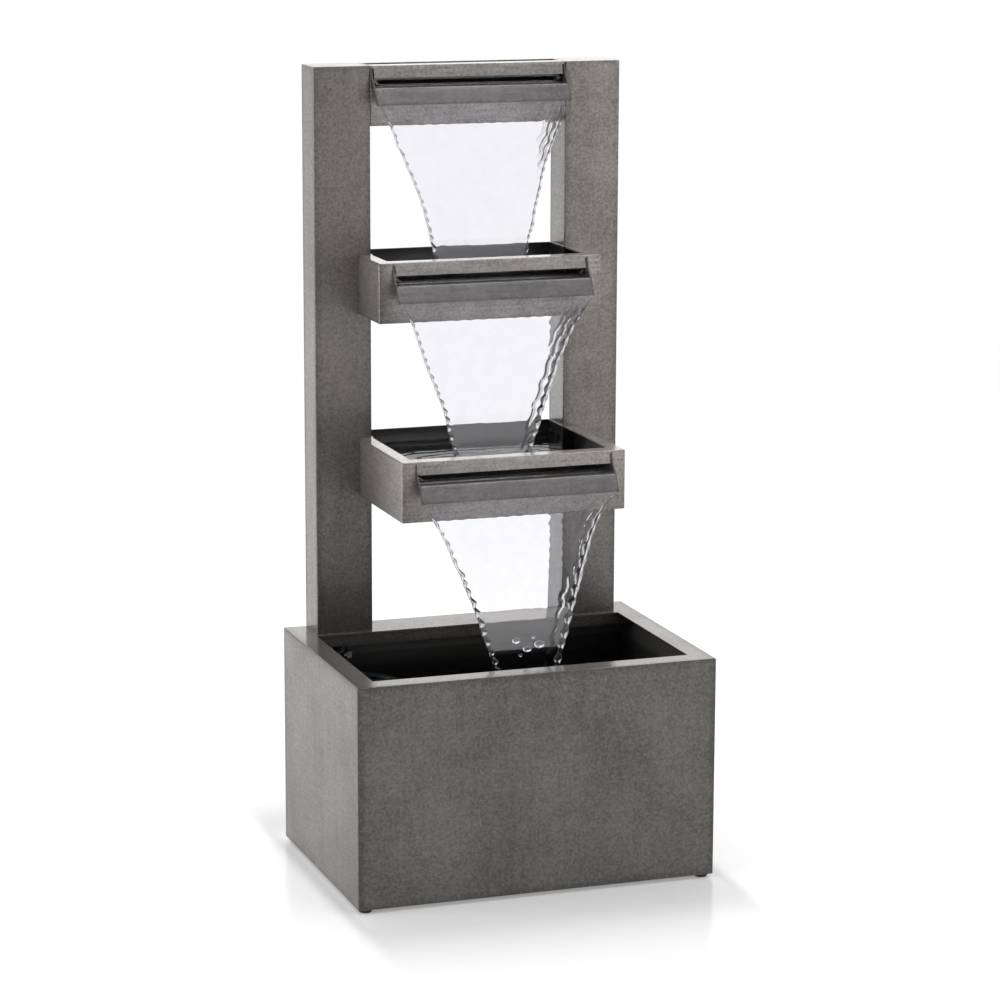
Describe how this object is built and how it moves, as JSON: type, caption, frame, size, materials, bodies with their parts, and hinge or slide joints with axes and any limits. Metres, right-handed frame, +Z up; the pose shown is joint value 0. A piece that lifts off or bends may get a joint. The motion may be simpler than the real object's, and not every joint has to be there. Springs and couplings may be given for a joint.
{
  "type": "tiered fountain",
  "caption": "Free-standing sheet-metal fountain: wide scoops pour from a header and stepped trays held between box posts into a rectangular reservoir with a pump inside.",
  "frame": {"origin": "on the floor under the feet, at the centre of the reservoir's plan", "axes": "+Z up, the spouts pour towards -Y, +X to the right of someone facing the fountain"},
  "size_m": [0.508, 0.356, 1.096],
  "materials": {
    "zinc_sheet": "dark-washed galvanised sheet, satin, faint mottle",
    "zinc_spout": "galvanised sheet, a little lighter where water runs",
    "fastener_steel": "plain stainless",
    "black_rubber": "matte",
    "pump_plastic": "fine moulded texture",
    "impeller_plastic": "natural moulded",
    "magnet": "ground ferrite",
    "ceramic": "polished",
    "hose_vinyl": "smooth flexible vinyl"
  },
  "bodies": {
    "fountain": {"reservoir_tub": "zinc_sheet", "post_bearer": "zinc_sheet", "left_post": "zinc_sheet", "right_post": "zinc_sheet", "left_post_cover": "zinc_sheet", "right_post_cover": "zinc_sheet", "header_trough": "zinc_sheet", "middle_tray": "zinc_sheet", "lower_tray": "zinc_sheet", "header_spout": "zinc_spout", "middle_spout": "zinc_spout", "lower_spout": "zinc_spout", "cover_screws": "fastener_steel", "left_post_foot": "fastener_steel", "right_post_foot": "fastener_steel", "post_bolts": "fastener_steel", "post_washers": "fastener_steel", "header_screws": "fastener_steel", "middle_tray_screws": "fastener_steel", "lower_tray_screws": "fastener_steel", "header_nuts": "fastener_steel", "middle_tray_nuts": "fastener_steel", "lower_tray_nuts": "fastener_steel", "riser_pipe": "fastener_steel", "pump_hose_clamp": "fastener_steel", "riser_hose_clamp": "fastener_steel", "pump_clamp_screw": "fastener_steel", "riser_clamp_screw": "fastener_steel", "volute_screws": "fastener_steel", "cord_grommet": "black_rubber", "foot_front_left": "black_rubber", "foot_front_right": "black_rubber", "foot_rear_left": "black_rubber", "foot_rear_right": "black_rubber", "riser_grommet": "black_rubber", "inlet_grommet": "black_rubber", "pump_seal": "black_rubber", "cord_gland": "black_rubber", "cup_front_left": "black_rubber", "cup_front_right": "black_rubber", "cup_rear_left": "black_rubber", "cup_rear_right": "black_rubber", "motor_housing": "pump_plastic", "pump_volute": "pump_plastic", "rotor_shaft": "ceramic", "rear_bush": "ceramic", "front_bush": "ceramic", "pump_hose": "hose_vinyl"},
    "rotor": {"impeller": "impeller_plastic", "rotor_magnet": "magnet"},
    "strainer": {"strainer": "pump_plastic"},
    "flow_valve": {"flow_knob": "pump_plastic", "flow_shutter": "pump_plastic"}
  },
  "joints": [
    {"name": "impeller_spin", "type": "hinge", "parent": "fountain", "child": "rotor", "pos_m": [-0.11047, 0.06042, 0.037], "axis": [0, 1, 0], "continuous": true},
    {"name": "strainer_slide", "type": "slide", "parent": "fountain", "child": "strainer", "axis": [0, -1, 0], "range_m": [0, 0.035]},
    {"name": "flow_turn", "type": "hinge", "parent": "strainer", "child": "flow_valve", "pos_m": [-0.11047, 0.03042, 0.037], "axis": [0, -1, 0], "range_deg": [0, 90]}
  ]
}
